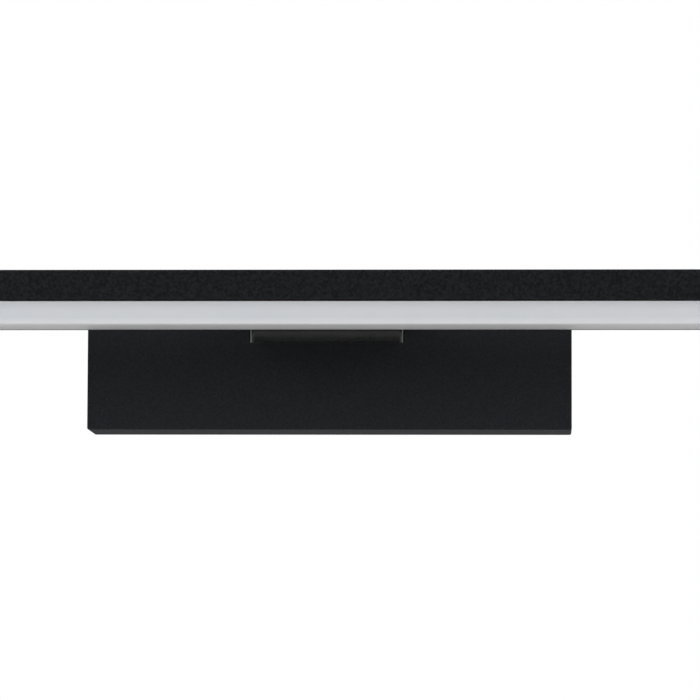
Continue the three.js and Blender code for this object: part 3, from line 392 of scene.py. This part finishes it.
def ferrite():
    """A ferrite core at the ends, and yellow tape round the winding between them."""
    low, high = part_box("driver_transformer")
    g = Graph("ferrite")
    off_centre = g.math("ABSOLUTE", g.math("SUBTRACT", g.axis("Z"), 0.5 * (low.z + high.z)))
    half_winding = 3.6 * MM
    tape = g.span(off_centre, half_winding, half_winding - 0.15 * MM)
    pits = g.noise(0.35 * MM, 3.0, 0.7)
    core = g.mix(g.span(pits, 0.3, 0.7), rgb(0.022, 0.022, 0.024), rgb(0.05, 0.05, 0.052))
    film = g.mix(g.noise(2 * MM, 2.0), rgb(0.72, 0.52, 0.08), rgb(0.62, 0.43, 0.06))
    g.set("Base Color", g.mix(tape, core, film))
    dull = g.span(pits, 0.3, 0.7, 0.6, 0.75)
    g.set("Roughness", g.math("SUBTRACT", dull, g.math("MULTIPLY", tape, 0.35)))
    g.bump(pits, 0.03 * MM)
    return g.material


def capacitor_sleeve():
    """A dark shrink sleeve with a pale stripe along one side, and bare aluminium at the end."""
    g = Graph("capacitor_sleeve")
    facing = g.axis("Z", g.make("ShaderNodeTexCoord", {}, "Normal"))
    stripe = g.span(facing, 0.75, 0.8)
    crinkle = g.noise(0.6 * MM, 2.0, place=g.scaled(0.3, 1.0, 1.0))
    body = g.mix(g.span(crinkle, 0.3, 0.7), rgb(0.02, 0.028, 0.07), rgb(0.03, 0.04, 0.1))
    g.set("Base Color", g.mix(stripe, body, rgb(0.55, 0.57, 0.6)))
    g.set("Roughness", g.span(crinkle, 0.3, 0.7, 0.28, 0.42))
    g.bump(crinkle, 0.02 * MM)
    return g.material


def all_finishes():
    cream, cream_shade = rgb(0.74, 0.72, 0.67), rgb(0.68, 0.66, 0.60)
    grey, grey_shade = rgb(0.52, 0.53, 0.54), rgb(0.46, 0.47, 0.48)
    natural, natural_shade = rgb(0.66, 0.64, 0.56), rgb(0.6, 0.58, 0.5)
    green, green_shade, yellow = rgb(0.05, 0.22, 0.04), rgb(0.04, 0.17, 0.03), rgb(0.7, 0.6, 0.03)
    return {
        "canopy_black": canopy_black(),
        "arm_black": arm_black(),
        "bar_black": sandy_black(),
        "opal": opal_acrylic(),
        "zinc_steel": zinc_steel(),
        "black_steel": black_steel(),
        "black_rubber": black_rubber(),
        "white_plastic": moulded_plastic("white_plastic", cream, cream_shade, 0.45),
        "grey_plastic": moulded_plastic("grey_plastic", grey, grey_shade, 0.5),
        "nylon": moulded_plastic("nylon", natural, natural_shade, 0.42, 0.2 * MM),
        "circuit_board": circuit_board(),
        "led_board": led_board(),
        "ferrite": ferrite(),
        "capacitor_sleeve": capacitor_sleeve(),
        "brass": brass(),
        "lead_brown": lead_cover("lead_brown", rgb(0.1, 0.035, 0.016), rgb(0.075, 0.027, 0.012)),
        "lead_blue": lead_cover("lead_blue", rgb(0.03, 0.11, 0.33), rgb(0.02, 0.08, 0.27)),
        "lead_green": lead_cover("lead_green", green, green_shade, stripe=yellow),
    }


# ------------------------------------------------------------------------------------------------
# Shapes
# ------------------------------------------------------------------------------------------------

LEADS = ("live_lead", "neutral_lead", "earth_lead", "led_lead")
WELD_DISTANCE = 0.002 * MM
FLAT_ANGLE = math.radians(0.3)
SHARP_ANGLE = math.radians(32)
EDGE_SEGMENTS = 3
FACES_ONLY = 100  # the weight that lets large faces decide the shading
EDGE_WIDTH = 0.15 * MM
OTHER_EDGE_WIDTHS = {
    "canopy_cover": 0.2 * MM,
    "hinge_fork": 0.5 * MM,
    "hinge_lug": 0.35 * MM,
    "bar_housing": 0.12 * MM,
    "diffuser": 0.12 * MM,
    "wall_bracket": 0.2 * MM,
}


def welded(node):
    """Takes the CAD mesh's triangles together into whole faces, with modifiers."""
    node.data.shade_smooth()
    weld = node.modifiers.new("weld", "WELD")
    weld.merge_threshold = WELD_DISTANCE
    flat = node.modifiers.new("flat", "DECIMATE")
    flat.decimate_type = "DISSOLVE"
    flat.angle_limit = FLAT_ANGLE


def rounded_edges(node, width):
    """Narrow rounded edges. The flat faces between them keep their own shading."""
    edges = node.modifiers.new("edges", "BEVEL")
    edges.width = width
    edges.segments = EDGE_SEGMENTS
    edges.limit_method = "ANGLE"
    edges.angle_limit = SHARP_ANGLE
    shading = node.modifiers.new("shading", "WEIGHTED_NORMAL")
    shading.weight = FACES_ONLY


def round_section(node):
    """Makes a lead's eight-sided section round."""
    smooth = node.modifiers.new("round", "SUBSURF")
    smooth.levels = 2
    smooth.render_levels = 2


def finish_nodes(nodes, finishes):
    for finish, names in FINISH_NODES.items():
        for name in names:
            node = nodes[name]
            node.data.materials.clear()
            node.data.materials.append(finishes[finish])
            welded(node)
            if name in LEADS:
                round_section(node)
            else:
                rounded_edges(node, OTHER_EDGE_WIDTHS.get(name, EDGE_WIDTH))


def bending_led_lead(node):
    """The LED lead crosses the hinge. A finished copy of it, with its modifiers applied, stands in for
    the CAD node, which is hidden.
    """
    depsgraph = bpy.context.evaluated_depsgraph_get()
    mesh = bpy.data.meshes.new_from_object(node.evaluated_get(depsgraph))
    cable = bpy.data.objects.new("led_lead_cable", mesh)
    bpy.context.scene.collection.objects.link(cable)
    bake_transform(cable)
    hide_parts("led_lead")


# ------------------------------------------------------------------------------------------------
# Studio
# ------------------------------------------------------------------------------------------------

CAMERA = {
    "place": (0.0686, -1.4952, -0.1260),
    "turn": 2.404,
    "tilt": 4.986,
    "roll": 0.203,
    "lens": 230.1,
    "nearest": 0.05,
    "farthest": 50,
}
FLOOR_HEIGHT = -0.3
FLOOR_HALF = 4.0
BACKDROP_DEPTHS = (-0.8, -0.1)  # where the backdrop's light starts and stops rising, front to back
BACKDROP_LEVELS = (0.07, 0.5)
SOFTBOXES = (
    {"name": "key_left", "azimuth": -53, "elevation": 27, "width": 0.6, "height": 0.8, "power": 5.9},
    {"name": "key_right", "azimuth": 53, "elevation": 27, "width": 0.6, "height": 0.8, "power": 5.1},
    {"name": "strip_left", "azimuth": -88, "elevation": -4, "width": 0.25, "height": 0.8, "power": 1.3},
    {"name": "strip_right", "azimuth": 88, "elevation": -4, "width": 0.25, "height": 0.8, "power": 1.3},
)
SOFTBOX_DISTANCE = 1.1


def add_camera():
    data = bpy.data.cameras.new("camera")
    data.lens = CAMERA["lens"]
    data.clip_start = CAMERA["nearest"]
    data.clip_end = CAMERA["farthest"]
    camera = bpy.data.objects.new("camera", data)
    bpy.context.scene.collection.objects.link(camera)
    turn = Matrix.Rotation(math.radians(CAMERA["turn"]), 4, "Z")
    tilt = Matrix.Rotation(math.radians(90 + CAMERA["tilt"]), 4, "X")
    roll = Matrix.Rotation(math.radians(CAMERA["roll"]), 4, "Z")
    camera.matrix_world = Matrix.Translation(CAMERA["place"]) @ turn @ tilt @ roll
    bpy.context.scene.camera = camera


def add_softbox(name, azimuth, elevation, width, height, power):
    """A softbox that faces the middle of the lamp. Azimuth 0 is straight in front."""
    data = bpy.data.lights.new(name, "AREA")
    data.shape = "RECTANGLE"
    data.size = width
    data.size_y = height
    data.energy = power
    light = bpy.data.objects.new(name, data)
    bpy.context.scene.collection.objects.link(light)
    turn = Matrix.Rotation(math.radians(azimuth), 4, "Z")
    tilt = Matrix.Rotation(math.radians(90 - elevation), 4, "X")
    light.matrix_world = turn @ tilt @ Matrix.Translation((0, 0, SOFTBOX_DISTANCE))


def add_world():
    """A white backdrop all round. As a light it is bright behind the lamp and dimmer in front of it."""
    world = bpy.data.worlds.new("studio")
    world.use_nodes = True
    tree = world.node_tree
    nodes, links = tree.nodes, tree.links
    direction = nodes.new("ShaderNodeTexCoord")
    split = nodes.new("ShaderNodeSeparateXYZ")
    depth = nodes.new("ShaderNodeMapRange")
    depth.inputs["From Min"].default_value = BACKDROP_DEPTHS[0]
    depth.inputs["From Max"].default_value = BACKDROP_DEPTHS[1]
    depth.inputs["To Min"].default_value = BACKDROP_LEVELS[0]
    depth.inputs["To Max"].default_value = BACKDROP_LEVELS[1]
    seen = nodes.new("ShaderNodeLightPath")
    level = nodes.new("ShaderNodeMix")
    level.inputs["B"].default_value = 1.0
    background = nodes["Background"]
    background.inputs["Color"].default_value = rgb(1, 1, 1)
    links.new(direction.outputs["Generated"], split.inputs["Vector"])
    links.new(split.outputs["Y"], depth.inputs["Value"])
    links.new(depth.outputs["Result"], level.inputs["A"])
    links.new(seen.outputs["Is Camera Ray"], level.inputs["Factor"])
    links.new(level.outputs["Result"], background.inputs["Strength"])
    bpy.context.scene.world = world


def add_floor():
    g = Graph("floor", Specular_IOR_Level=0.2)
    patches = g.span(g.noise(0.4, 3.0), 0.3, 0.7)
    g.set("Base Color", g.mix(patches, rgb(0.72, 0.72, 0.72), rgb(0.75, 0.75, 0.75)))
    g.set("Roughness", g.span(g.noise(0.05, 3.0), 0.3, 0.7, 0.8, 0.9))
    mesh = bpy.data.meshes.new("floor")
    corners = [(-1, -1), (1, -1), (1, 1), (-1, 1)]
    places = [(x * FLOOR_HALF, y * FLOOR_HALF, FLOOR_HEIGHT) for x, y in corners]
    mesh.from_pydata(places, [], [(0, 1, 2, 3)])
    mesh.materials.append(g.material)
    floor = bpy.data.objects.new("floor", mesh)
    bpy.context.scene.collection.objects.link(floor)


def add_studio():
    bpy.context.scene.view_settings.view_transform = "Standard"
    add_camera()
    add_world()
    add_floor()
    for softbox in SOFTBOXES:
        add_softbox(**softbox)


# ------------------------------------------------------------------------------------------------

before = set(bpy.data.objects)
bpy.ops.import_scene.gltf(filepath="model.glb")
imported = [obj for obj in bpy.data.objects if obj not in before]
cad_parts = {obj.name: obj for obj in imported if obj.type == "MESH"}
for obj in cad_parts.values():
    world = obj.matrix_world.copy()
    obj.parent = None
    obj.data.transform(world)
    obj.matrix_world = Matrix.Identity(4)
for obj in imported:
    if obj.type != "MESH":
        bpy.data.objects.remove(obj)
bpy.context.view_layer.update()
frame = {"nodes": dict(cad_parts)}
finish_nodes(frame["nodes"], all_finishes())
bending_led_lead(frame["nodes"]["led_lead"])
add_studio()
